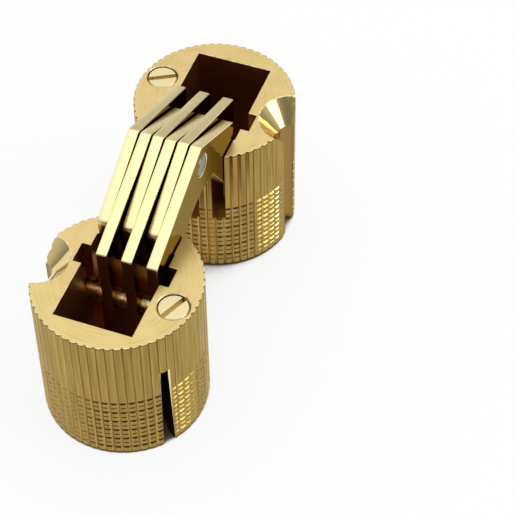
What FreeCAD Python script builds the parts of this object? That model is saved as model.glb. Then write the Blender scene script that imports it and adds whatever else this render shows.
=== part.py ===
import FreeCAD, Part
import math
import os
import Sketcher
from FreeCAD import Placement, Rotation, Vector

# Invisible barrel hinge, opened flat. Millimetres.
# Frame: origin on the floor midway between the barrels, X from barrel A to barrel B,
# Y along the pins, Z up. Each barrel stands on its hollow end, with its face up.
# A rise is measured up from the barrels' faces, a depth down from them, and an inset
# from a barrel's axis towards the other barrel.

doc = FreeCAD.newDocument("barrel_hinge")
sheet = doc.addObject("Spreadsheet::Sheet", "sizes")

DRIVING = [
    ("barrel_diameter", 18.0),
    ("barrel_height", 18.0),
    ("centre_distance", 27.66),
    ("closed_gap", 0.2),
    ("knurl_count", 60),
    ("knurl_depth", 0.18),
    ("knurl_width", 0.5),
    ("ring_depth", 9.95),
    ("ring_width", 0.52),
    ("ring_cut", 0.2),
    ("recess_diameter", 14.8),
    ("recess_depth", 1.2),
    ("pocket_reach", 6.3),
    ("pocket_clearance", 0.14),
    ("plate_thickness", 1.2),
    ("plate_gap", 0.19),
    ("slot_depth", 9.87),
    ("channel_inset", 2.1),
    ("channel_width", 2.5),
    ("channel_reach", 5.3),
    ("slider_clearance", 0.15),
    ("slider_end_clearance", 0.15),
    ("sink_diameter", 7.1),
    ("sink_depth", 2.47),
    ("fixing_groove_diameter", 2.8),
    ("slit_angle", 127.0),
    ("slit_height", 12.4),
    ("slit_top_width", 0.87),
    ("slit_bottom_width", 1.4),
    ("screw_back", 1.35),
    ("screw_inset", 2.24),
    ("screw_diameter", 3.3),
    ("screw_length", 8.0),
    ("screw_sink", 0.1),
    ("screw_hole_clearance", 0.08),
    ("screw_chamfer", 0.12),
    ("screw_slot_width", 0.55),
    ("screw_slot_depth", 0.8),
    ("screw_slot_angle_a", -24.0),
    ("screw_slot_angle_b", -61.0),
    ("pivot_inset", 6.8),
    ("pivot_depth", 3.5),
    ("pivot_pin_diameter", 1.8),
    ("pivot_pin_seat", 0.1),
    ("pivot_boss_diameter", 3.4),
    ("pivot_eye_diameter", 2.6),
    ("slider_inset", 2.9),
    ("slider_depth", 6.7),
    ("slider_pin_diameter", 1.8),
    ("slider_eye_diameter", 2.8),
    ("centre_rise", 4.55),
    ("centre_pin_diameter", 2.4),
    ("running_clearance", 0.04),
    ("press_clearance", 0.005),
    ("knee_rise", 7.2),
    ("knee_radius", 0.5),
    ("long_end_inset", 1.03),
    ("long_end_rise", 1.83),
    ("long_end_radius", 0.25),
    ("short_end_inset", 4.63),
    ("short_end_rise", 2.3),
    ("short_end_radius", 0.8),
    ("foot_reach", 2.8),
    ("foot_rise", 0.4),
    ("arch_rise", 0.87),
    ("boss_clearance", 0.35),
    ("relief_angle", 70.0),
]

PLATES_PER_SET = 3
MOTION_STEPS = 60


class Size:
    # A number from the sheet that keeps the expression giving it.
    def __init__(self, text, number):
        self.text = text
        self.number = number

    def combine(self, sign, other, number):
        return Size("(%s %s %s)" % (self.text, sign, other.text), number)

    def __add__(self, other):
        return self.combine("+", other, self.number + other.number)

    def __sub__(self, other):
        return self.combine("-", other, self.number - other.number)

    def __mul__(self, factor):
        return Size("(%s * %r)" % (self.text, factor), self.number * factor)

    def __truediv__(self, factor):
        return Size("(%s / %r)" % (self.text, factor), self.number / factor)

    def __neg__(self):
        return Size("(-%s)" % self.text, -self.number)


def write_cell(alias, value):
    row = write_cell.next_row
    sheet.set("A%d" % row, alias)
    sheet.set("B%d" % row, "%.6g" % value)
    sheet.setAlias("B%d" % row, alias)
    write_cell.next_row = row + 1


def size(alias):
    return Size("sizes." + alias, float(sheet.get(alias)))


write_cell.next_row = 1
for alias, value in DRIVING:
    write_cell(alias, value)
doc.recompute()

height = size("barrel_height")
half_span = size("centre_distance") / 2
pivot_x = half_span - size("pivot_inset")
pivot_z = height - size("pivot_depth")
slider_x = half_span - size("slider_inset")
slider_z = height - size("slider_depth")
centre_z = height + size("centre_rise")
pitch = size("plate_thickness") + size("plate_gap")
stack_half = pitch * PLATES_PER_SET
pocket_half = stack_half + size("pocket_clearance")
pivot_pin_length = (stack_half + size("pivot_pin_seat")) * 2
screw_side = size("barrel_diameter") / 2 - size("screw_inset")
strip_top = pivot_z + size("pivot_boss_diameter") / 2
comb_inset = size("pivot_inset") - size("pivot_boss_diameter") / 2


def turned(point, angle):
    return Vector(
        point.x * math.cos(angle) - point.y * math.sin(angle),
        point.x * math.sin(angle) + point.y * math.cos(angle),
        0,
    )


def slider_path():
    # The slider pin's places in barrel A, seen along the pins, from open to shut.
    # The links turn on the barrel's pivot until the knee lies on the joint between the faces.
    pivot = Vector(size("pivot_inset").number, -size("pivot_depth").number, 0)
    knee_open = Vector(half_span.number, size("centre_rise").number, 0)
    slider_open = Vector(size("slider_inset").number, -size("slider_depth").number, 0)
    arm = (knee_open - pivot).Length
    shut_rise = size("closed_gap").number / 2 - pivot.y
    start = math.atan2(knee_open.y - pivot.y, knee_open.x - pivot.x)
    swing = math.pi - math.asin(shut_rise / arm) - start
    places = []
    for step in range(MOTION_STEPS + 1):
        share = step / MOTION_STEPS
        knee = pivot + turned(knee_open - pivot, share * swing)
        places.append(knee + turned(slider_open - knee_open, share * (math.pi - swing)))
    return swing, places


swing, path = slider_path()
slider_room = size("slider_pin_diameter").number / 2 + size("slider_clearance").number
write_cell("track_near", max(place.x for place in path) + slider_room)
write_cell("track_far", min(place.x for place in path) - slider_room)
write_cell("track_top", -max(place.y for place in path) - slider_room)
write_cell("track_bottom", -min(place.y for place in path) + slider_room)
doc.recompute()


def new_body(name, half_turn):
    # The two sides are alike, turned half round about Z.
    body = doc.addObject("PartDesign::Body", name)
    body.Label = name
    if half_turn:
        body.Placement = Placement(Vector(), Rotation(Vector(0, 0, 1), 180))
    return body


def origin_feature(body, role):
    return [item for item in body.Origin.OriginFeatures if item.Role == role][0]


def new_sketch(body, name, plane, shift=None, turn=0.0):
    sketch = body.newObject("Sketcher::SketchObject", name)
    sketch.AttachmentSupport = [(origin_feature(body, plane), "")]
    sketch.MapMode = "FlatFace"
    sketch.AttachmentOffset = Placement(Vector(), Rotation(Vector(0, 1, 0), turn))
    if shift is not None:
        sketch.setExpression("AttachmentOffset.Base.z", shift.text)
    return sketch


def bind_constraint(sketch, constraint, value):
    index = sketch.addConstraint(constraint)
    sketch.setExpression("Constraints[%d]" % index, value.text)


def hold_point(sketch, item, end, x, y):
    # A place of None lies on the sketch's own axis.
    if x is None:
        sketch.addConstraint(Sketcher.Constraint("PointOnObject", item, end, -2))
    else:
        bind_constraint(sketch, Sketcher.Constraint("DistanceX", -1, 1, item, end, x.number), x)
    if y is None:
        sketch.addConstraint(Sketcher.Constraint("PointOnObject", item, end, -1))
    else:
        bind_constraint(sketch, Sketcher.Constraint("DistanceY", -1, 1, item, end, y.number), y)


def number_of(place):
    return 0.0 if place is None else place.number


def add_polygon(sketch, corners):
    points = [Vector(number_of(x), number_of(y), 0) for x, y in corners]
    lines = []
    for first, second in zip(points, points[1:] + points[:1]):
        lines.append(sketch.addGeometry(Part.LineSegment(first, second), False))
    for line, following in zip(lines, lines[1:] + lines[:1]):
        sketch.addConstraint(Sketcher.Constraint("Coincident", line, 2, following, 1))
    for line, (x, y) in zip(lines, corners):
        hold_point(sketch, line, 1, x, y)


def add_rectangle(sketch, low_x, high_x, low_y, high_y):
    add_polygon(sketch, [(low_x, low_y), (high_x, low_y), (high_x, high_y), (low_x, high_y)])


def add_circle(sketch, diameter, x=None, y=None):
    middle = Vector(number_of(x), number_of(y), 0)
    circle = sketch.addGeometry(Part.Circle(middle, Vector(0, 0, 1), diameter.number / 2), False)
    bind_constraint(sketch, Sketcher.Constraint("Diameter", circle, diameter.number), diameter)
    hold_point(sketch, circle, 3, x, y)


def add_feature(body, kind, name, sketch, length, middle=False, reverse=False):
    before = body.Shape.Volume if body.Tip else 0.0
    feature = body.newObject("PartDesign::" + kind, name)
    feature.Profile = sketch
    feature.setExpression("Length", length.text)
    feature.Midplane = middle
    feature.Reversed = reverse
    doc.recompute()
    if abs(feature.Shape.Volume - before) < 1e-6:
        raise ValueError("%s of %s changes nothing" % (name, body.Label))
    return feature


def add_bevel(body, kind, name, base, edges, prop, value):
    feature = body.newObject("PartDesign::" + kind, name)
    feature.Base = (base, edges)
    feature.setExpression(prop, value.text)
    doc.recompute()
    return feature


def edges_where(shape, test):
    return ["Edge%d" % (index + 1) for index, edge in enumerate(shape.Edges) if test(edge)]


def lane(index):
    # Middle of a link plate of set B, and so of a strip of barrel A's comb.
    return -stack_half + pitch / 2 + pitch * (2 * index)


def cut_ring(body):
    # A ring across the knurl, just deeper than it. Below it the side is whole all the way round.
    outside = size("barrel_diameter")
    floor = size("barrel_diameter") / 2 - size("ring_cut")
    level = height - size("ring_depth")
    half_ring = size("ring_width") / 2
    profile = new_sketch(body, "ring_profile", "XZ_Plane")
    add_rectangle(profile, floor, outside, level - half_ring, level + half_ring)
    ring = body.newObject("PartDesign::Groove", "ring")
    ring.Profile = profile
    ring.ReferenceAxis = (origin_feature(body, "Z_Axis"), [""])
    ring.Angle = 360
    doc.recompute()


def cut_knurl(body):
    # One V groove along the side, repeated round the barrel. The slit replaces one whole ridge.
    first = math.radians(180.0 / size("knurl_count").number - size("slit_angle").number)
    groove = body.newObject("Sketcher::SketchObject", "knurl_profile")
    groove.AttachmentSupport = [(origin_feature(body, "XY_Plane"), "")]
    groove.MapMode = "FlatFace"
    groove.AttachmentOffset = Placement(Vector(), Rotation(Vector(0, 0, 1), math.degrees(first)))
    groove.setExpression("AttachmentOffset.Base.z", height.text)
    radius = size("barrel_diameter") / 2
    outside = radius + size("knurl_depth")
    half_groove = size("knurl_width") / 2
    add_polygon(groove, [
        (radius - size("knurl_depth"), None),
        (radius, -half_groove),
        (outside, -half_groove),
        (outside, half_groove),
        (radius, half_groove),
    ])
    cut = add_feature(body, "Pocket", "knurl_groove", groove, height)
    pattern = body.newObject("PartDesign::PolarPattern", "knurl")
    pattern.Originals = [cut]
    pattern.Axis = (origin_feature(body, "Z_Axis"), [""])
    pattern.Angle = 360
    pattern.setExpression("Occurrences", "sizes.knurl_count")
    body.Tip = pattern
    doc.recompute()


def cut_comb(body):
    # The links leave over strips that hold the pivot pin, and swing in slots between them.
    outside = size("barrel_diameter")
    gate = new_sketch(body, "gate_outline", "XY_Plane", height)
    add_rectangle(gate, size("pivot_inset"), outside, -stack_half, stack_half)
    add_feature(body, "Pocket", "gate", gate, height - strip_top)
    shoulder = new_sketch(body, "shoulder_outline", "XZ_Plane")
    corner_x = comb_inset.number
    arc = Part.ArcOfCircle(
        Part.Circle(
            Vector(size("pivot_inset").number, pivot_z.number, 0),
            Vector(0, 0, 1),
            size("pivot_boss_diameter").number / 2,
        ),
        math.pi / 2,
        math.pi,
    )
    round_edge = shoulder.addGeometry(arc, False)
    top_left = Vector(corner_x, height.number, 0)
    top_right = Vector(size("pivot_inset").number, height.number, 0)
    left = shoulder.addGeometry(Part.LineSegment(Vector(corner_x, pivot_z.number, 0), top_left), False)
    top = shoulder.addGeometry(Part.LineSegment(top_left, top_right), False)
    crown = Vector(size("pivot_inset").number, strip_top.number, 0)
    right = shoulder.addGeometry(Part.LineSegment(top_right, crown), False)
    for item, end, following, start in (
        (round_edge, 2, left, 1),
        (left, 2, top, 1),
        (top, 2, right, 1),
        (right, 2, round_edge, 1),
    ):
        shoulder.addConstraint(Sketcher.Constraint("Coincident", item, end, following, start))
    hold_point(shoulder, round_edge, 3, size("pivot_inset"), pivot_z)
    hold_point(shoulder, top, 1, comb_inset, height)
    hold_point(shoulder, right, 1, size("pivot_inset"), height)
    shoulder.addConstraint(Sketcher.Constraint("Vertical", left))
    shoulder.addConstraint(Sketcher.Constraint("Vertical", right))
    add_feature(body, "Pocket", "shoulder", shoulder, stack_half * 2, middle=True)
    slots = new_sketch(body, "slot_outlines", "XY_Plane", height)
    for index in range(PLATES_PER_SET):
        middle = -lane(index)
        add_rectangle(slots, size("channel_inset"), outside, middle - pitch / 2, middle + pitch / 2)
    add_feature(body, "Pocket", "comb_slots", slots, size("slot_depth"))
    hole = new_sketch(body, "pivot_hole_outline", "XZ_Plane")
    bore = size("pivot_pin_diameter") + size("press_clearance") * 2
    add_circle(hole, bore, size("pivot_inset"), pivot_z)
    add_feature(body, "Pocket", "pivot_hole", hole, pivot_pin_length, middle=True)


def cut_pocket(body):
    pocket = new_sketch(body, "pocket_outline", "XY_Plane", height)
    add_rectangle(pocket, -size("pocket_reach"), comb_inset, -pocket_half, pocket_half)
    add_feature(body, "Pocket", "pocket", pocket, height)
    channel = new_sketch(body, "channel_outline", "XY_Plane", height)
    half_width = size("channel_width") / 2
    add_rectangle(
        channel,
        size("channel_inset") - half_width,
        size("channel_inset") + half_width,
        -size("channel_reach"),
        size("channel_reach"),
    )
    add_feature(body, "Pocket", "channel", channel, size("track_bottom"))
    track = new_sketch(body, "track_outline", "XY_Plane", height - size("track_top"))
    add_rectangle(
        track, size("track_far"), size("track_near"), -size("channel_reach"), size("channel_reach")
    )
    add_feature(body, "Pocket", "track", track, size("track_bottom") - size("track_top"))
    recess = new_sketch(body, "recess_outline", "XY_Plane")
    add_circle(recess, size("recess_diameter"))
    add_feature(body, "Pocket", "recess", recess, size("recess_depth"), reverse=True)


def cut_fixing_groove(body):
    # Half of a countersunk screw's hole, shared with the wood around the barrel.
    groove = new_sketch(body, "fixing_groove_outline", "XY_Plane", height)
    add_circle(groove, size("fixing_groove_diameter"), None, size("barrel_diameter") / 2)
    add_feature(body, "Pocket", "fixing_groove", groove, height)
    sink = body.newObject("PartDesign::SubtractiveCone", "countersink")
    sink.setExpression("Radius1", (size("fixing_groove_diameter") / 2).text)
    sink.setExpression("Radius2", (size("sink_diameter") / 2).text)
    sink.setExpression("Height", "sizes.sink_depth")
    sink.setExpression("Placement.Base.y", (size("barrel_diameter") / 2).text)
    sink.setExpression("Placement.Base.z", (height - size("sink_depth")).text)
    doc.recompute()


def cut_expansion(body):
    hole_width = size("screw_diameter") + size("screw_hole_clearance") * 2
    hole = new_sketch(body, "screw_hole_outline", "XY_Plane", height)
    add_circle(hole, hole_width, -size("screw_back"), -screw_side)
    add_feature(body, "Pocket", "screw_hole", hole, size("screw_length") + size("screw_sink"))
    # The sketch's normal points along -Y before it is turned to the slit's direction.
    slit = new_sketch(body, "slit_outline", "XZ_Plane", turn=90.0 - size("slit_angle").number)
    half_top = size("slit_top_width") / 2
    half_bottom = size("slit_bottom_width") / 2
    add_polygon(slit, [
        (-half_bottom, None),
        (half_bottom, None),
        (half_top, size("slit_height")),
        (-half_top, size("slit_height")),
    ])
    add_feature(body, "Pocket", "slit", slit, size("barrel_diameter"), reverse=True)


def make_barrel(side):
    body = new_body("barrel_" + side, side == "b")
    place = -half_span if side == "a" else half_span
    body.setExpression("Placement.Base.x", place.text)
    outline = new_sketch(body, "barrel_outline", "XY_Plane")
    add_circle(outline, size("barrel_diameter"))
    add_feature(body, "Pad", "barrel", outline, height)
    cut_ring(body)
    cut_knurl(body)
    cut_pocket(body)
    cut_comb(body)
    cut_fixing_groove(body)
    cut_expansion(body)
    return body


def make_screw(side):
    body = new_body("expansion_screw_" + side, side == "b")
    sign = 1 if side == "a" else -1
    axis_x = -half_span - size("screw_back")
    body.setExpression("Placement.Base.x", (axis_x * sign).text)
    body.setExpression("Placement.Base.y", (-screw_side * sign).text)
    top = height - size("screw_sink")
    bottom = top - size("screw_length")
    radius = size("screw_diameter") / 2
    profile = new_sketch(body, "screw_profile", "XZ_Plane")
    add_polygon(profile, [
        (None, bottom),
        (radius, bottom),
        (radius, top - size("screw_chamfer")),
        (radius - size("screw_chamfer"), top),
        (None, top),
    ])
    turning = body.newObject("PartDesign::Revolution", "screw")
    turning.Profile = profile
    turning.ReferenceAxis = (origin_feature(body, "Z_Axis"), [""])
    turning.Angle = 360
    doc.recompute()
    slot = body.newObject("Sketcher::SketchObject", "slot_outline")
    slot.AttachmentSupport = [(origin_feature(body, "XY_Plane"), "")]
    slot.MapMode = "FlatFace"
    slot_angle = size("screw_slot_angle_" + side).number
    slot.AttachmentOffset = Placement(Vector(), Rotation(Vector(0, 0, 1), slot_angle))
    slot.setExpression("AttachmentOffset.Base.z", top.text)
    half_slot = size("screw_slot_width") / 2
    add_rectangle(slot, -radius * 2, radius * 2, -half_slot, half_slot)
    add_feature(body, "Pocket", "slot", slot, size("screw_slot_depth"))
    return body


def make_pin(name, side, diameter, length, x, z):
    # A straight pin along Y, at the place it has on side A.
    body = new_body(name, side == "b")
    outline = new_sketch(body, "pin_outline", "XZ_Plane")
    add_circle(outline, diameter, x, z)
    add_feature(body, "Pad", "pin", outline, length, middle=True)
    return body


def tangent_point(outer, middle, radius, side):
    # Where a line from an outer point touches a circle, on its left (+1) or right (-1).
    reach = middle - outer
    lean = math.asin(radius / reach.Length) * side
    run = math.sqrt(reach.Length ** 2 - radius ** 2)
    reach.normalize()
    return outer + turned(reach, lean) * run


def angle_at(middle, point):
    return math.atan2(point.y - middle.y, point.x - middle.x)


def point_on(middle, radius, angle):
    return middle + Vector(math.cos(angle), math.sin(angle), 0) * radius


def link_outline(sketch):
    # A plate of set B, whose long arm reaches into barrel A and short arm turns in barrel B.
    boss_radius = size("pivot_boss_diameter") / 2 + size("boss_clearance")
    pivot_radius = size("pivot_eye_diameter") / 2
    slider_radius = size("slider_eye_diameter") / 2
    pivot = Vector(pivot_x.number, pivot_z.number, 0)
    boss = Vector(-pivot_x.number, pivot_z.number, 0)
    slider = Vector(-slider_x.number, slider_z.number, 0)
    knee_z = height + size("knee_rise")
    short_x = half_span - size("short_end_inset")
    short_z = height + size("short_end_rise")
    long_x = size("long_end_inset") - half_span
    long_z = height + size("long_end_rise")
    foot_z = height + size("foot_rise")
    knee = Vector(0, knee_z.number, 0)
    short_end = Vector(short_x.number, short_z.number, 0)
    long_end = Vector(long_x.number, long_z.number, 0)
    foot = Vector(size("foot_reach").number, foot_z.number, 0)
    crown = Vector(0, (height + size("arch_rise")).number, 0)
    relief_start = point_on(boss, boss_radius.number, math.radians(size("relief_angle").number))

    heel = tangent_point(short_end, pivot, pivot_radius.number, 1)
    toe = tangent_point(foot, pivot, pivot_radius.number, -1)
    span = slider - boss
    lean = math.asin((boss_radius.number + slider_radius.number) / span.Length)
    fall = math.atan2(span.y, span.x) + lean
    relief_end = point_on(boss, boss_radius.number, fall - math.pi / 2)
    inner = point_on(slider, slider_radius.number, fall + math.pi / 2)
    outer = tangent_point(long_end, slider, slider_radius.number, -1)

    def line(first, second):
        return sketch.addGeometry(Part.LineSegment(first, second), False)

    def arc(middle, radius, first, last):
        # Drawn anticlockwise from first to last.
        circle = Part.Circle(middle, Vector(0, 0, 1), radius)
        item = Part.ArcOfCircle(circle, angle_at(middle, first), angle_at(middle, last))
        return sketch.addGeometry(item, False)

    short_top = line(knee, short_end)
    short_face = line(short_end, heel)
    pivot_eye = arc(pivot, pivot_radius.number, toe, heel)
    foot_edge = line(toe, foot)
    arch = sketch.addGeometry(Part.Arc(foot, crown, relief_start), False)
    relief = arc(boss, boss_radius.number, relief_start, relief_end)
    inner_edge = line(relief_end, inner)
    slider_eye = arc(slider, slider_radius.number, outer, inner)
    long_face = line(outer, long_end)
    long_top = line(long_end, knee)

    for item, end, following, start in (
        (long_top, 2, short_top, 1),
        (short_top, 2, short_face, 1),
        (foot_edge, 2, arch, 1),
        (arch, 2, relief, 1),
        (long_face, 2, long_top, 1),
    ):
        sketch.addConstraint(Sketcher.Constraint("Coincident", item, end, following, start))
    for item, end, following, start in (
        (short_face, 2, pivot_eye, 2),
        (pivot_eye, 1, foot_edge, 1),
        (relief, 2, inner_edge, 1),
        (inner_edge, 2, slider_eye, 2),
        (slider_eye, 1, long_face, 1),
    ):
        sketch.addConstraint(Sketcher.Constraint("Tangent", item, end, following, start))
    hold_point(sketch, short_top, 1, None, knee_z)
    hold_point(sketch, short_top, 2, short_x, short_z)
    hold_point(sketch, long_top, 1, long_x, long_z)
    hold_point(sketch, foot_edge, 2, size("foot_reach"), foot_z)
    hold_point(sketch, pivot_eye, 3, pivot_x, pivot_z)
    hold_point(sketch, relief, 3, -pivot_x, pivot_z)
    hold_point(sketch, slider_eye, 3, -slider_x, slider_z)
    for item, radius in ((pivot_eye, pivot_radius), (relief, boss_radius), (slider_eye, slider_radius)):
        bind_constraint(sketch, Sketcher.Constraint("Radius", item, radius.number), radius)


def make_link(side, index):
    # Set A holds the centre pin fast and set B turns on it. Both hold their slider pin fast.
    body = new_body("link_%s_%d" % (side, index + 1), side == "a")
    middle = lane(index) if side == "b" else -lane(index)
    body.setExpression("Placement.Base.y", middle.text)
    outline = new_sketch(body, "link_outline", "XZ_Plane")
    link_outline(outline)
    pad = add_feature(body, "Pad", "plate", outline, size("plate_thickness"), middle=True)
    base = pad
    for name, prop, x, z in (
        ("knee_round", "knee_radius", 0.0, height.number + size("knee_rise").number),
        (
            "short_end_round",
            "short_end_radius",
            half_span.number - size("short_end_inset").number,
            height.number + size("short_end_rise").number,
        ),
        (
            "long_end_round",
            "long_end_radius",
            size("long_end_inset").number - half_span.number,
            height.number + size("long_end_rise").number,
        ),
    ):
        corner = edges_where(
            base.Shape,
            lambda edge: all(math.hypot(v.X - x, v.Z - z) < 1e-4 for v in edge.Vertexes),
        )
        base = add_bevel(body, "Fillet", name, base, corner, "Radius", size(prop))
    running = size("running_clearance") * 2
    pressed = size("press_clearance") * 2
    holes = new_sketch(body, "pin_holes_outline", "XZ_Plane")
    add_circle(holes, size("centre_pin_diameter") + (pressed if side == "a" else running), None, centre_z)
    add_circle(holes, size("pivot_pin_diameter") + running, pivot_x, pivot_z)
    add_circle(holes, size("slider_pin_diameter") + pressed, -slider_x, slider_z)
    add_feature(body, "Pocket", "pin_holes", holes, size("plate_thickness"), middle=True)
    return body


pieces = []
for side in ("a", "b"):
    pieces.append(make_barrel(side))
    pieces.append(make_screw(side))
    pieces.append(make_pin(
        "pivot_pin_" + side,
        side,
        size("pivot_pin_diameter"),
        pivot_pin_length,
        -pivot_x,
        pivot_z,
    ))
    pieces.append(make_pin(
        "slider_pin_" + side,
        side,
        size("slider_pin_diameter"),
        (size("channel_reach") - size("slider_end_clearance")) * 2,
        -slider_x,
        slider_z,
    ))
    for index in range(PLATES_PER_SET):
        pieces.append(make_link(side, index))
pieces.append(make_pin("centre_pin", "a", size("centre_pin_diameter"), stack_half * 2, None, centre_z))
doc.recompute()

for item in doc.Objects:
    if "Invalid" in item.State or "Error" in item.State:
        raise ValueError("%s failed: %s" % (item.Label, item.State))
for piece in pieces:
    if piece.Shape.isNull() or not piece.Shape.isValid():
        raise ValueError("%s has no valid shape" % piece.Label)

os.makedirs("parts", exist_ok=True)
for piece in pieces:
    piece.Shape.exportStep("parts/%s.step" % piece.Label)
    print("%-20s %8.1f mm3, %d solid(s)" % (piece.Label, piece.Shape.Volume, len(piece.Shape.Solids)))
print("links swing %.3f degrees, knee ratio %.5f" % (math.degrees(swing), math.pi / swing - 2))
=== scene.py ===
import math

import bmesh
import bpy
from mathutils import Matrix, Vector


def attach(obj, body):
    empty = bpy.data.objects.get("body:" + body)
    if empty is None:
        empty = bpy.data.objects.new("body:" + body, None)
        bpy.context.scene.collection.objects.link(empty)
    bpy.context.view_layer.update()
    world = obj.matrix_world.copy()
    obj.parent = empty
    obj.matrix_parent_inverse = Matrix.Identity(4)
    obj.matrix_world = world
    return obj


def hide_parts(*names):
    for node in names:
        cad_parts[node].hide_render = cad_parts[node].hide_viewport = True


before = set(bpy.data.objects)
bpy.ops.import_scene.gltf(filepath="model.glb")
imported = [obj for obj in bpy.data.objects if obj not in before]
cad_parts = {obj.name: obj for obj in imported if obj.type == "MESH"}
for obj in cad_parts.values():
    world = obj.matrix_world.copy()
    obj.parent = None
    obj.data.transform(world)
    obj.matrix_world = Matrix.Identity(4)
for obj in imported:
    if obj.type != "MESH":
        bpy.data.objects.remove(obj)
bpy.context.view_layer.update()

mm = 0.001

meshing = {
    "weld": 0.001 * mm,              # corners nearer than this are joined
    "flat": math.radians(0.3),       # faces that meet flatter than this become one
    "smooth": math.radians(28),      # edges flatter than this are shaded round
    "sharp": math.radians(40),       # edges of plates and pins steeper than this are softened
}


def linearColour(text):
    parts = [int(text[place:place + 2], 16) / 255 for place in (1, 3, 5)]
    linear = [part / 12.92 if part <= 0.04045 else ((part + 0.055) / 1.055) ** 2.4 for part in parts]
    return linear + [1.0]


def addNode(tree, kind, settings, inputs):
    # A number or colour fills a socket, and another node's output is linked to it.
    node = tree.nodes.new(kind)
    for name, value in settings.items():
        setattr(node, name, value)
    for name, value in inputs.items():
        if isinstance(value, bpy.types.NodeSocket):
            tree.links.new(value, node.inputs[name])
        else:
            node.inputs[name].default_value = value
    return node


def newMaterial(name):
    material = bpy.data.materials.new(name)
    material.use_nodes = True
    material.node_tree.nodes.clear()
    return material


def startPiece(nodeName, place):
    # The node's own shape, with its corners joined, in the piece's own frame.
    shape = bmesh.new()
    shape.from_mesh(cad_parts[nodeName].data)
    bmesh.ops.remove_doubles(shape, verts=shape.verts, dist=meshing["weld"])
    bmesh.ops.dissolve_limit(
        shape, angle_limit=meshing["flat"], verts=shape.verts, edges=shape.edges)
    bmesh.ops.transform(shape, matrix=place.inverted(), verts=shape.verts)
    return shape


def softenEdges(shape, edges, offset, segments):
    bmesh.ops.bevel(
        shape, geom=edges, offset=offset, segments=segments, profile=0.5,
        affect="EDGES", clamp_overlap=False)


def endPiece(shape, name, place, materials, nodeName, body):
    for face in shape.faces:
        face.smooth = True
    for edge in shape.edges:
        sameMetal = len({face.material_index for face in edge.link_faces}) == 1
        edge.smooth = sameMetal and edge.calc_face_angle(0) < meshing["smooth"]
    mesh = bpy.data.meshes.new(name)
    shape.to_mesh(mesh)
    shape.free()
    for material in materials:
        mesh.materials.append(material)
    if "custom_normal" in mesh.attributes:
        mesh.attributes.remove(mesh.attributes["custom_normal"])   # the frame's, which no longer fit
    piece = bpy.data.objects.new(name, mesh)
    bpy.context.scene.collection.objects.link(piece)
    piece.matrix_world = place
    bpy.context.view_layer.update()
    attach(piece, body)
    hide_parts(nodeName)
    return piece


print("stage: plain metals")
plainMetals = {
    # Upper flanks of the knurl's cross rows, which face down: a dark copy of the knurl as painted
    # shade; mostly hidden.
    "rowShade": {"name": "knurled brass cut, painted shade", "colour": "#4a3414", "roughness": 0.45},
    # Lower flanks of the rows, which face up, pressed smooth: a paler copy of the knurl as a painted
    # highlight, with dark dashes toward the front and glints toward the lamp.
    "rowGlint": {"name": "knurled brass cut, pressed, painted highlight", "colour": "#c8a85c", "roughness": 0.16},
    # Brass milled out: a deeper brown gold than the faces outside, as painted shade in the pockets and
    # slots, where the light hardly reaches.
    "milled": {"name": "milled brass, painted shade", "colour": "#c08c54", "roughness": 0.35},
    # Brass slit with a saw: rough, and painted near black as the deep shade inside the narrow slit.
    "sawn": {"name": "sawn brass, painted shade", "colour": "#231810", "roughness": 0.6, "metallic": 0.6},
    # Brass countersunk with a polished cutter: pale gold with sharp lights and darks.
    "sunk": {"name": "countersunk brass, smooth", "colour": "#ead292", "roughness": 0.1},
    # Brass drilled along the side: a darker gold with a soft shine.
    "drilled": {"name": "drilled brass, satin", "colour": "#9a7a42", "roughness": 0.25},
    # Plate brass with rolled, polished sides: a mirror of the plates and pocket beside it.
    "plate": {"name": "rolled brass plate, polished", "colour": "#78633a", "roughness": 0.14,
              "glance": "#e6d8b4"},   # what a slanting look sees
    # Screw brass turned on an automatic lathe: pale and clean.
    "screw": {"name": "screw brass, turned", "colour": "#e4d6a4", "roughness": 0.38},
    # Ground pin steel: neutral grey with a soft shine.
    "steel": {"name": "pin steel, ground", "colour": "#8e897c", "roughness": 0.3},
}
plain = {}
for key, look in plainMetals.items():
    plain[key] = newMaterial(look["name"])
    tree = plain[key].node_tree
    metal = addNode(tree, "ShaderNodeBsdfPrincipled", {}, {
        "Base Color": linearColour(look["colour"]), "Metallic": look.get("metallic", 1.0),
        "Roughness": look["roughness"],
        "Specular Tint": linearColour(look.get("glance", "#ffffff"))})
    addNode(tree, "ShaderNodeOutputMaterial", {}, {"Surface": metal.outputs["BSDF"]})

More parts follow.
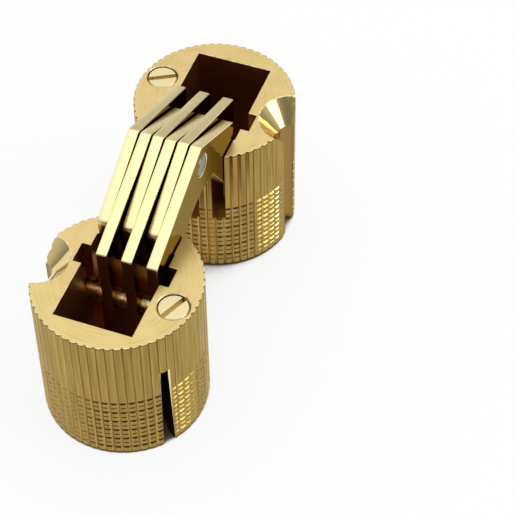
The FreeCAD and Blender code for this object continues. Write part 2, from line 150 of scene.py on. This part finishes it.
print("stage: barrels")
barrel = {
    "axis": 13.83 * mm,
    "radius": 9.0 * mm,
    "top": 18.0 * mm,
    "grooves": 60,                   # along the side
    "firstGroove": math.radians(-124),
    "grooveDepth": 0.18 * mm,
    "grooveWidth": 0.5 * mm,
    "rowMiddle": 8.05 * mm,          # rows that cross the grooves
    "rowPitch": 0.76 * mm,
    "rowsAbove": {"a": 1, "b": 2},
    "rowsBelow": 9,
    "rowSizes": ((0.34 * mm, 0.136 * mm), (0.18 * mm, 0.072 * mm)),   # width and depth, by turns
    "ringLow": 7.77 * mm,            # the frame's one plain ring, filled so that all rows are alike
    "ringHigh": 8.33 * mm,
    "ringInside": 8.6 * mm,
    "hair": 0.004 * mm,              # what the filling stays clear of the knurl and the slots
    "openingReach": (5 * mm, 10 * mm),    # openings left in the filling, from inside it to outside
    "openingHeight": (7 * mm, 9 * mm),
    "slots": ((2.78 * mm, 4.17 * mm), (0.0, 1.39 * mm), (-2.78 * mm, -1.39 * mm)),
    "slotFloor": 8.12 * mm,
    "slitAngle": math.radians(-127),
    "slitWidth": 1.06 * mm,          # at the filling
    "slitHighlight": (0.58 * mm, 0.66 * mm),   # where the painted highlight along it fades, from the slit's middle
    "slitTop": 12.3 * mm,
    "fixingRadius": 1.4 * mm,
    "fixingSteps": 48,
    "steps": 240,                    # round the barrel
    "over": 0.1 * mm,                # how far the cutters stand out of the barrel
    "weld": 0.0005 * mm,
    "lead": 0.4 * mm,                # bevel at the hollow end
    "burr": 0.06 * mm,               # rounding of the rim
    "screwHole": (-1.35 * mm, -6.76 * mm, 1.73 * mm),   # place and radius
    "screwLead": 0.1 * mm,
}
along = Vector((math.cos(barrel["slitAngle"]), math.sin(barrel["slitAngle"]), 0))   # out by the slit
across = Vector((-along.y, along.x, 0))

# Brass faced off on a lathe: pale gold with a soft shine, faint rings round the barrel's axis and
# handling marks.
facedBrass = newMaterial("turned brass, faced")
tree = facedBrass.node_tree
place = addNode(tree, "ShaderNodeTexCoord", {}, {})
flat = addNode(tree, "ShaderNodeVectorMath", {"operation": "MULTIPLY"}, {
    0: place.outputs["Object"], 1: (1, 1, 0)})
reach = addNode(tree, "ShaderNodeVectorMath", {"operation": "LENGTH"}, {0: flat.outputs["Vector"]})
# The tool marks are finer than this in the metal; 0.25 mm is as coarse as it takes for them to show.
rings = addNode(tree, "ShaderNodeTexNoise", {"noise_dimensions": "1D"}, {
    "W": reach.outputs["Value"], "Scale": 1 / (0.25 * mm), "Detail": 3.0})
tint = addNode(tree, "ShaderNodeMix", {"data_type": "RGBA"}, {
    "Factor": rings.outputs["Fac"], "A": linearColour("#bfa05c"), "B": linearColour("#e8d192")})
cloud = addNode(tree, "ShaderNodeTexNoise", {}, {
    "Vector": place.outputs["Object"], "Scale": 1 / (3 * mm), "Detail": 4.0})
marks = addNode(tree, "ShaderNodeMapRange", {}, {
    "Value": cloud.outputs["Fac"], "From Min": 0.35, "From Max": 0.65})
worn = addNode(tree, "ShaderNodeMix", {"data_type": "RGBA"}, {
    "Factor": marks.outputs["Result"], "A": tint.outputs["Result"], "B": linearColour("#dcc488")})
bump = addNode(tree, "ShaderNodeBump", {}, {
    "Height": rings.outputs["Fac"], "Strength": 0.15, "Distance": 0.02 * mm})
metal = addNode(tree, "ShaderNodeBsdfPrincipled", {}, {
    "Base Color": worn.outputs["Result"], "Metallic": 1.0, "Roughness": 0.32,
    "Normal": bump.outputs["Normal"]})
addNode(tree, "ShaderNodeOutputMaterial", {}, {"Surface": metal.outputs["BSDF"]})

# Burr rolled up along a cut edge, burnished: the bevel catches the light, and its colour is painted
# paler in uneven patches, a painted highlight line.
burrBrass = newMaterial("brass burr, burnished, painted highlight")
tree = burrBrass.node_tree
place = addNode(tree, "ShaderNodeTexCoord", {}, {})
ragged = addNode(tree, "ShaderNodeTexNoise", {}, {
    "Vector": place.outputs["Object"], "Scale": 1 / (0.5 * mm), "Detail": 2.0})
share = addNode(tree, "ShaderNodeMapRange", {}, {
    "Value": ragged.outputs["Fac"], "From Min": 0.35, "From Max": 0.6})
tint = addNode(tree, "ShaderNodeMix", {"data_type": "RGBA"}, {
    "Factor": share.outputs["Result"], "A": linearColour("#c8aa64"), "B": linearColour("#fff4cc")})
metal = addNode(tree, "ShaderNodeBsdfPrincipled", {}, {
    "Base Color": tint.outputs["Result"], "Metallic": 1.0, "Roughness": 0.4})
addNode(tree, "ShaderNodeOutputMaterial", {}, {"Surface": metal.outputs["BSDF"]})

# Knurled brass left as it came from the wheel: dull olive gold, streaked along the side, with a painted
# shade just under the rim. The grooves are a little paler than the ribs, because shade darkens them
# again.
knurledBrass = newMaterial("knurled brass, dulled")
tree = knurledBrass.node_tree
place = addNode(tree, "ShaderNodeTexCoord", {}, {})
flat = addNode(tree, "ShaderNodeVectorMath", {"operation": "MULTIPLY"}, {
    0: place.outputs["Object"], 1: (1, 1, 0)})
reach = addNode(tree, "ShaderNodeVectorMath", {"operation": "LENGTH"}, {0: flat.outputs["Vector"]})
height = addNode(tree, "ShaderNodeMapRange", {}, {
    "Value": reach.outputs["Value"],
    "From Min": barrel["radius"] - barrel["grooveDepth"], "From Max": barrel["radius"] - 0.01 * mm})
tint = addNode(tree, "ShaderNodeMix", {"data_type": "RGBA"}, {
    "Factor": height.outputs["Result"], "A": linearColour("#b69c62"), "B": linearColour("#a4884a")})
# Drag marks of the wheel, drawn 0.3 mm wide so that they show, and long along the side.
drawn = addNode(tree, "ShaderNodeVectorMath", {"operation": "MULTIPLY"}, {
    0: place.outputs["Object"], 1: (1, 1, 0.04)})
drag = addNode(tree, "ShaderNodeTexNoise", {}, {
    "Vector": drawn.outputs["Vector"], "Scale": 1 / (0.3 * mm), "Detail": 3.0})
streak = addNode(tree, "ShaderNodeMapRange", {}, {
    "Value": drag.outputs["Fac"], "From Min": 0.3, "From Max": 0.7, "To Min": 0.75, "To Max": 1.2})
lined = addNode(tree, "ShaderNodeVectorMath", {"operation": "SCALE"}, {
    0: tint.outputs["Result"], "Scale": streak.outputs["Result"]})
split = addNode(tree, "ShaderNodeSeparateXYZ", {}, {"Vector": place.outputs["Object"]})
# Painted shade: a dark band just under the rim.
rimShade = addNode(tree, "ShaderNodeMapRange", {}, {
    "Value": split.outputs["Z"], "To Max": 0.6,
    "From Min": barrel["top"] - 0.28 * mm, "From Max": barrel["top"] - 0.14 * mm})
shaded = addNode(tree, "ShaderNodeMix", {"data_type": "RGBA"}, {
    "Factor": rimShade.outputs["Result"], "A": lined.outputs["Vector"], "B": linearColour("#3a2a10")})
# A thin bright line of painted highlight runs along the slit's edges.
fromSlit = addNode(tree, "ShaderNodeVectorMath", {"operation": "DOT_PRODUCT"}, {
    0: place.outputs["Object"], 1: across})
apart = addNode(tree, "ShaderNodeMath", {"operation": "ABSOLUTE"}, {0: fromSlit.outputs["Value"]})
edge = addNode(tree, "ShaderNodeMapRange", {}, {
    "Value": apart.outputs["Value"], "To Min": 1.0, "To Max": 0.0,
    "From Min": barrel["slitHighlight"][0], "From Max": barrel["slitHighlight"][1]})
outward = addNode(tree, "ShaderNodeVectorMath", {"operation": "DOT_PRODUCT"}, {
    0: place.outputs["Object"], 1: along})
near = addNode(tree, "ShaderNodeMath", {"operation": "GREATER_THAN"}, {
    0: outward.outputs["Value"], 1: 0.0})
low = addNode(tree, "ShaderNodeMath", {"operation": "LESS_THAN"}, {
    0: split.outputs["Z"], 1: barrel["slitTop"]})
beside = addNode(tree, "ShaderNodeMath", {"operation": "MULTIPLY"}, {
    0: near.outputs["Value"], 1: low.outputs["Value"]})
# The painted highlight's share, beside the slit and below its top.
burr = addNode(tree, "ShaderNodeMath", {"operation": "MULTIPLY"}, {
    0: beside.outputs["Value"], 1: edge.outputs["Result"]})
slitHighlighted = addNode(tree, "ShaderNodeMix", {"data_type": "RGBA"}, {
    "Factor": burr.outputs["Value"], "A": shaded.outputs["Result"], "B": linearColour("#f4e4b8")})
metal = addNode(tree, "ShaderNodeBsdfPrincipled", {}, {
    "Base Color": slitHighlighted.outputs["Result"], "Metallic": 1.0, "Roughness": 0.24,
    "Specular Tint": linearColour("#f6ecd2")})
addNode(tree, "ShaderNodeOutputMaterial", {}, {"Surface": metal.outputs["BSDF"]})


def joinLoops(shape, loops):
    for loop, following in zip(loops, loops[1:] + loops[:1]):
        for corner in range(len(loop)):
            other = (corner + 1) % len(loop)
            shape.faces.new((loop[corner], loop[other], following[other], following[corner]))


def addTurned(shape, section):
    # A closed ring turned about Z from (reach, height) corners.
    loops = []
    for step in range(barrel["steps"]):
        angle = 2 * math.pi * step / barrel["steps"]
        loops.append([
            shape.verts.new((reach * math.cos(angle), reach * math.sin(angle), height))
            for reach, height in section])
    joinLoops(shape, loops)


def addFiller(shape):
    # A knurled ring a hair inside the barrel's own knurl.
    reach = barrel["radius"] - barrel["hair"]
    half = barrel["grooveWidth"] / 2
    section = ((reach, -half), (reach - barrel["grooveDepth"], 0.0), (reach, half))
    loops = []
    for number in range(barrel["grooves"]):
        middle = barrel["firstGroove"] + 2 * math.pi * number / barrel["grooves"]
        for out, aside in section:
            x = out * math.cos(middle) - aside * math.sin(middle)
            y = out * math.sin(middle) + aside * math.cos(middle)
            shrink = barrel["ringInside"] / math.hypot(x, y)
            loops.append([
                shape.verts.new((x, y, barrel["ringLow"])),
                shape.verts.new((x, y, barrel["ringHigh"])),
                shape.verts.new((x * shrink, y * shrink, barrel["ringHigh"])),
                shape.verts.new((x * shrink, y * shrink, barrel["ringLow"])),
            ])
    joinLoops(shape, loops)


def addPrism(shape, outline, low, high):
    # A closed upright prism on (x, y) corners.
    bottom = [shape.verts.new((x, y, low)) for x, y in outline]
    top = [shape.verts.new((x, y, high)) for x, y in outline]
    shape.faces.new(bottom[::-1])
    shape.faces.new(top)
    for corner in range(len(outline)):
        other = (corner + 1) % len(outline)
        shape.faces.new((bottom[corner], bottom[other], top[other], top[corner]))


def addOpenings(shape):
    # The slots, the slit and the fixing groove, where they pass through the filling.
    inside, outside = barrel["openingReach"]
    low, high = barrel["openingHeight"]
    for first, last in barrel["slots"]:
        first -= barrel["hair"]
        last += barrel["hair"]
        corners = [(inside, first), (outside, first), (outside, last), (inside, last)]
        addPrism(shape, corners, barrel["slotFloor"], high)
    half = across.xy * barrel["slitWidth"] / 2
    near = along.xy * inside
    far = along.xy * outside
    addPrism(shape, [near - half, far - half, far + half, near + half], low, high)
    corners = []
    for step in range(barrel["fixingSteps"]):
        angle = 2 * math.pi * step / barrel["fixingSteps"]
        corners.append((
            barrel["fixingRadius"] * math.cos(angle),
            barrel["radius"] + barrel["fixingRadius"] * math.sin(angle)))
    addPrism(shape, corners, low, high)


def addCutters(shape, rowsAbove):
    # The cross rows, and the bevel at the hollow end.
    outside = barrel["radius"] + barrel["over"]
    for row in range(rowsAbove + barrel["rowsBelow"] + 1):
        level = barrel["rowMiddle"] + (rowsAbove - row) * barrel["rowPitch"]
        width, depth = barrel["rowSizes"][row % 2]
        wide = width / 2 * (1 + barrel["over"] / depth)
        addTurned(shape, [
            (barrel["radius"] - depth, level), (outside, level - wide), (outside, level + wide)])
    addTurned(shape, [
        (barrel["radius"] - barrel["lead"] - barrel["over"], -barrel["over"]),
        (outside, -barrel["over"]),
        (outside, barrel["lead"] + barrel["over"]),
    ])


def combine(first, second, operation):
    # Two closed shapes into one. Both are used up.
    items = []
    for shape in (first, second):
        bmesh.ops.recalc_face_normals(shape, faces=shape.faces)
        mesh = bpy.data.meshes.new("working")
        shape.to_mesh(mesh)
        shape.free()
        item = bpy.data.objects.new("working", mesh)
        bpy.context.scene.collection.objects.link(item)
        items.append(item)
    modifier = items[0].modifiers.new("combine", "BOOLEAN")
    modifier.operation = operation
    modifier.solver = "EXACT"
    modifier.object = items[1]
    bpy.context.view_layer.update()
    result = bmesh.new()
    result.from_object(items[0], bpy.context.evaluated_depsgraph_get())
    for item in items:
        mesh = item.data
        bpy.data.objects.remove(item)
        bpy.data.meshes.remove(mesh)
    return result


# Which metal a face of the barrel gets, by its place and by how far it faces up.
sorting = {
    "rim": 0.1 * mm,                 # burr below the face
    "rimAngle": math.radians(20),
    "holeEdge": 0.1 * mm,            # the screw hole's own edge, and the burr round it
    "holeBurr": 0.25 * mm,
    "foot": 1.3 * mm,                # the hollow end's rim and floor
    "lead": 0.5 * mm,                # the bevel below the knurl
    "sinkRadius": 3.7 * mm,
    "sinkInside": 5 * mm,
    "fixingRadius": 1.5 * mm,
    "slitHalf": 0.75 * mm,
    "slitInside": 3 * mm,
    "slitOutside": 8.7 * mm,
    "knurlInside": 8.75 * mm,
    "sinkTilt": 0.1,
    "burrTilt": 0.2,
    "upright": 0.25,
    "level": 0.9,
}


def barrelMetal(middle, tilt):
    holeX, holeY, holeRadius = barrel["screwHole"]
    reach = math.hypot(middle.x, middle.y)
    fromSink = math.hypot(middle.x, middle.y - barrel["radius"])
    fromHole = math.hypot(middle.x - holeX, middle.y - holeY)
    inSink = fromSink < sorting["sinkRadius"] and reach > sorting["sinkInside"]
    inSlit = abs(middle.dot(across)) < sorting["slitHalf"] and middle.dot(along) > sorting["slitInside"]
    if middle.z > barrel["top"] - meshing["weld"]:
        return facedBrass
    if middle.z > barrel["top"] - sorting["rim"] and tilt > sorting["burrTilt"]:
        return burrBrass
    if middle.z < sorting["foot"] and abs(tilt) > sorting["level"]:
        return facedBrass
    if fromHole < holeRadius + sorting["holeBurr"] and tilt > sorting["burrTilt"]:
        return burrBrass
    if inSink and tilt > sorting["sinkTilt"]:
        return plain["sunk"]
    if fromSink < sorting["fixingRadius"]:
        return plain["drilled"]
    if inSlit and reach < sorting["slitOutside"]:
        # The slit's walls: sawn brass, painted dark as shade.
        return plain["sawn"]
    if reach < sorting["knurlInside"]:
        # Faces inside the barrel: drilled brass where they face up, else milled brass with its painted
        # shade.
        return plain["drilled"] if tilt > sorting["level"] else plain["milled"]
    if middle.z < sorting["lead"] or abs(tilt) < sorting["upright"]:
        return knurledBrass
    # Cross-row flanks: painted highlight on those that face up, painted shade on those that face down.
    return plain["rowGlint"] if tilt > 0 else plain["rowShade"]


barrelMetals = [facedBrass, burrBrass, knurledBrass]
barrelMetals += [plain[key] for key in ("rowShade", "rowGlint", "milled", "sawn", "sunk", "drilled")]
for side, sign, turn in (("a", -1, 0.0), ("b", 1, math.pi)):
    name = "barrel_" + side
    place = Matrix.Translation((sign * barrel["axis"], 0, 0)) @ Matrix.Rotation(turn, 4, "Z")
    shape = startPiece(name, place)
    filler = bmesh.new()
    addFiller(filler)
    openings = bmesh.new()
    addOpenings(openings)
    shape = combine(shape, combine(filler, openings, "DIFFERENCE"), "UNION")
    cutters = bmesh.new()
    addCutters(cutters, barrel["rowsAbove"][side])
    shape = combine(shape, cutters, "DIFFERENCE")
    bmesh.ops.remove_doubles(shape, verts=shape.verts, dist=barrel["weld"])
    bmesh.ops.dissolve_limit(
        shape, angle_limit=meshing["flat"], verts=shape.verts, edges=shape.edges)

    holeX, holeY, holeRadius = barrel["screwHole"]
    lead = []
    rim = []
    for edge in shape.edges:
        onTop = all(vert.co.z > barrel["top"] - meshing["weld"] for vert in edge.verts)
        if onTop and edge.calc_face_angle(0) > sorting["rimAngle"]:
            fromHole = max(math.hypot(vert.co.x - holeX, vert.co.y - holeY) for vert in edge.verts)
            (lead if fromHole < holeRadius + sorting["holeEdge"] else rim).append(edge)
    softenEdges(shape, lead, barrel["screwLead"], 1)
    softenEdges(shape, [edge for edge in rim if edge.is_valid], barrel["burr"], 2)
    for face in shape.faces:
        metal = barrelMetal(face.calc_center_median(), face.normal.z)
        face.material_index = barrelMetals.index(metal)
    endPiece(shape, name + "_knurled", place, barrelMetals, name, "side_" + side)

print("stage: links")
link = {
    "softening": 0.11 * mm,
    "shadedBelow": 17.5 * mm,              # the edges below this stand in the pockets and get the milled brass's painted shade
    "side": 0.95,                    # faces turned to the side by more than this are the plate's sides
}

# Plate brass on its blanked edge: paler, with raised lines straight across the edge. They are finer
# in the metal; 0.25 mm is as coarse as it takes for them to show.
edgeBrass = newMaterial("blanked brass edge, ground")
tree = edgeBrass.node_tree
place = addNode(tree, "ShaderNodeTexCoord", {}, {})
stretch = addNode(tree, "ShaderNodeVectorMath", {"operation": "MULTIPLY"}, {
    0: place.outputs["Object"], 1: (1, 0.1, 1)})
lines = addNode(tree, "ShaderNodeTexNoise", {}, {
    "Vector": stretch.outputs["Vector"], "Scale": 1 / (0.25 * mm), "Detail": 2.0})
tint = addNode(tree, "ShaderNodeMix", {"data_type": "RGBA"}, {
    "Factor": lines.outputs["Fac"], "A": linearColour("#f2dea4"), "B": linearColour("#fcecb4")})
bump = addNode(tree, "ShaderNodeBump", {}, {
    "Height": lines.outputs["Fac"], "Strength": 0.6, "Distance": 0.06 * mm})
metal = addNode(tree, "ShaderNodeBsdfPrincipled", {}, {
    "Base Color": tint.outputs["Result"], "Metallic": 1.0, "Roughness": 0.3,
    "Normal": bump.outputs["Normal"]})
addNode(tree, "ShaderNodeOutputMaterial", {}, {"Surface": metal.outputs["BSDF"]})

linkMetals = [plain["plate"], edgeBrass, plain["milled"]]
for side in ("a", "b"):
    for number in (1, 2, 3):
        name = "link_%s_%d" % (side, number)
        shape = startPiece(name, Matrix())
        sharp = [edge for edge in shape.edges if edge.calc_face_angle(0) > meshing["sharp"]]
        softenEdges(shape, sharp, link["softening"], 2)
        for face in shape.faces:
            if abs(face.normal.y) > link["side"]:
                metal = plain["plate"]
            elif face.calc_center_median().z > link["shadedBelow"]:
                metal = edgeBrass
            else:
                # Plate edges down in the pockets: milled brass, painted shade.
                metal = plain["milled"]
            face.material_index = linkMetals.index(metal)
        endPiece(shape, name + "_plate", Matrix(), linkMetals, name, "links_" + side)

print("stage: screws and pins")
screw = {
    "back": 1.35 * mm,
    "side": 6.76 * mm,
}
for side, sign in (("a", -1), ("b", 1)):
    name = "expansion_screw_" + side
    place = Matrix.Translation((sign * (barrel["axis"] + screw["back"]), sign * screw["side"], 0))
    shape = startPiece(name, place)
    endPiece(shape, name + "_turned", place, [plain["screw"]], name, "side_" + side)

pin = {
    "domed": 0.35 * mm,              # the centre pin's ends, which show
    "softening": 0.12 * mm,
    "segments": 4,
}

# Drawn brass wire: warm gold with painted glints, paler spots in a random pattern. The spots
# are drawn 0.4 mm wide so that they show.
pinBrass = newMaterial("pin brass, drawn, painted glints")
tree = pinBrass.node_tree
place = addNode(tree, "ShaderNodeTexCoord", {}, {})
glintSpots = addNode(tree, "ShaderNodeTexNoise", {}, {
    "Vector": place.outputs["Object"], "Scale": 1 / (0.4 * mm), "Detail": 2.0})
share = addNode(tree, "ShaderNodeMapRange", {}, {
    "Value": glintSpots.outputs["Fac"], "From Min": 0.35, "From Max": 0.6})
tint = addNode(tree, "ShaderNodeMix", {"data_type": "RGBA"}, {
    "Factor": share.outputs["Result"], "A": linearColour("#d08c4a"), "B": linearColour("#fff0c0")})
metal = addNode(tree, "ShaderNodeBsdfPrincipled", {}, {
    "Base Color": tint.outputs["Result"], "Metallic": 1.0, "Roughness": 0.32})
addNode(tree, "ShaderNodeOutputMaterial", {}, {"Surface": metal.outputs["BSDF"]})

for name, body, metal, slot, offset in (
    ("centre_pin", "links_a", plain["steel"], "pin_steel", pin["domed"]),
    ("slider_pin_b", "links_a", pinBrass, "pin_brass", pin["softening"]),
    ("slider_pin_a", "links_b", pinBrass, "pin_brass", pin["softening"]),
    ("pivot_pin_a", "side_a", plain["steel"], "pin_steel", pin["softening"]),
    ("pivot_pin_b", "side_b", plain["steel"], "pin_steel", pin["softening"]),
):
    shape = startPiece(name, Matrix())
    sharp = [edge for edge in shape.edges if edge.calc_face_angle(0) > meshing["sharp"]]
    softenEdges(shape, sharp, offset, pin["segments"])
    endPiece(shape, name + "_ground", Matrix(), [metal], name, body)

print("stage: floor, light and camera")
studio = {
    "floorSize": 1.6,
    "floorGap": 0.02 * mm,
    "shadow": 0.15,                  # how much of the floor's own shade shows under the white
    "zenith": 1.5,
    "horizon": 0.25,
    "front": (-0.786, -0.454, -0.42),     # low in front, where the studio is dark
    "frontShare": 0.08,
    "lampPlace": Vector((0.02, -0.42, 0.22)),
    "lampAim": Vector((0, 0, 0.01)),
    "lampSize": 0.26,
    "lampPower": 0.5,
}

# Pale paper: white to the camera and in the brass, with a faint shadow.
paper = newMaterial("studio paper, matt")
tree = paper.node_tree
path = addNode(tree, "ShaderNodeLightPath", {}, {})
direct = addNode(tree, "ShaderNodeMath", {"operation": "ADD"}, {
    0: path.outputs["Is Camera Ray"], 1: path.outputs["Is Glossy Ray"]})
shown = addNode(tree, "ShaderNodeMath", {"operation": "ADD"}, {
    0: direct.outputs["Value"], 1: path.outputs["Is Transmission Ray"]})
# In the barrels, where hardly any light comes, the paper is painted dark: as it gets more hidden, its
# colour darkens and its glow fades, a painted shade.
clear = addNode(tree, "ShaderNodeAmbientOcclusion", {"samples": 24}, {"Distance": 20 * mm})
lit = addNode(tree, "ShaderNodeMapRange", {}, {
    "Value": clear.outputs["AO"], "From Min": 0.42, "From Max": 0.5, "To Max": 1 - studio["shadow"]})
dusk = addNode(tree, "ShaderNodeMapRange", {}, {
    "Value": clear.outputs["AO"], "From Min": 0.36, "From Max": 0.48})
tint = addNode(tree, "ShaderNodeMix", {"data_type": "RGBA"}, {
    "Factor": dusk.outputs["Result"], "A": linearColour("#806450"), "B": linearColour("#f2f2f0")})
share = addNode(tree, "ShaderNodeMath", {"operation": "MULTIPLY"}, {
    0: shown.outputs["Value"], 1: lit.outputs["Result"]})
shade = addNode(tree, "ShaderNodeBsdfDiffuse", {}, {"Color": tint.outputs["Result"]})
glow = addNode(tree, "ShaderNodeEmission", {}, {"Color": linearColour("#ffffff"), "Strength": 1.0})
both = addNode(tree, "ShaderNodeMixShader", {}, {
    0: share.outputs["Value"], 1: shade.outputs["BSDF"], 2: glow.outputs["Emission"]})
addNode(tree, "ShaderNodeOutputMaterial", {}, {"Surface": both.outputs["Shader"]})

half = studio["floorSize"] / 2
corners = [(-half, -half, 0), (half, -half, 0), (half, half, 0), (-half, half, 0)]
mesh = bpy.data.meshes.new("floor")
mesh.from_pydata(corners, [], [(0, 1, 2, 3)])
mesh.materials.append(paper)
floor = bpy.data.objects.new("floor", mesh)
floor.location.z = -studio["floorGap"]
bpy.context.scene.collection.objects.link(floor)

# A bright sky that fades to the horizon and is dark low in front.
world = bpy.data.worlds.new("studio")
world.use_nodes = True
world.node_tree.nodes.clear()
bpy.context.scene.world = world
tree = world.node_tree
place = addNode(tree, "ShaderNodeTexCoord", {}, {})
split = addNode(tree, "ShaderNodeSeparateXYZ", {}, {"Vector": place.outputs["Generated"]})
level = addNode(tree, "ShaderNodeMapRange", {}, {
    "Value": split.outputs["Z"], "From Min": 0.0, "From Max": 1.0,
    "To Min": studio["horizon"], "To Max": studio["zenith"]})
facing = addNode(tree, "ShaderNodeVectorMath", {"operation": "DOT_PRODUCT"}, {
    0: place.outputs["Generated"], 1: studio["front"]})
dim = addNode(tree, "ShaderNodeMapRange", {"interpolation_type": "SMOOTHSTEP"}, {
    "Value": facing.outputs["Value"], "From Min": 0.1, "From Max": 0.6,
    "To Min": 1.0, "To Max": studio["frontShare"]})
strength = addNode(tree, "ShaderNodeMath", {"operation": "MULTIPLY"}, {
    0: level.outputs["Result"], 1: dim.outputs["Result"]})
sky = addNode(tree, "ShaderNodeBackground", {}, {
    "Color": linearColour("#ffffff"), "Strength": strength.outputs["Value"]})
addNode(tree, "ShaderNodeOutputWorld", {}, {"Surface": sky.outputs["Background"]})

lamp = bpy.data.lights.new("softbox", "AREA")
lamp.size = studio["lampSize"]
lamp.energy = studio["lampPower"]
softbox = bpy.data.objects.new("softbox", lamp)
softbox.location = studio["lampPlace"]
aim = studio["lampAim"] - studio["lampPlace"]
softbox.rotation_euler = aim.to_track_quat("-Z", "Y").to_euler()
bpy.context.scene.collection.objects.link(softbox)

# The photo's own camera, found from the barrels' rims.
view = {
    "place": Vector((-121.4606, -55.9975, 162.6961)) * mm,
    "right": Vector((0.34488227, -0.93861636, -0.00745352)),
    "down": Vector((-0.71652308, -0.2581309, -0.64804561)),
    "forward": Vector((0.60634222, 0.22884006, -0.76156506)),
    "lens": 129.115,
    "sensor": 36,
    "clipStart": 0.01,
}
lens = bpy.data.cameras.new("camera")
lens.sensor_width = view["sensor"]
lens.lens = view["lens"]
lens.clip_start = view["clipStart"]
camera = bpy.data.objects.new("camera", lens)
turn = Matrix((view["right"], -view["down"], -view["forward"])).transposed()
camera.matrix_world = Matrix.Translation(view["place"]) @ turn.to_4x4()
bpy.context.scene.collection.objects.link(camera)
bpy.context.scene.camera = camera
bpy.context.scene.view_settings.view_transform = "Standard"

bpy.context.view_layer.update()
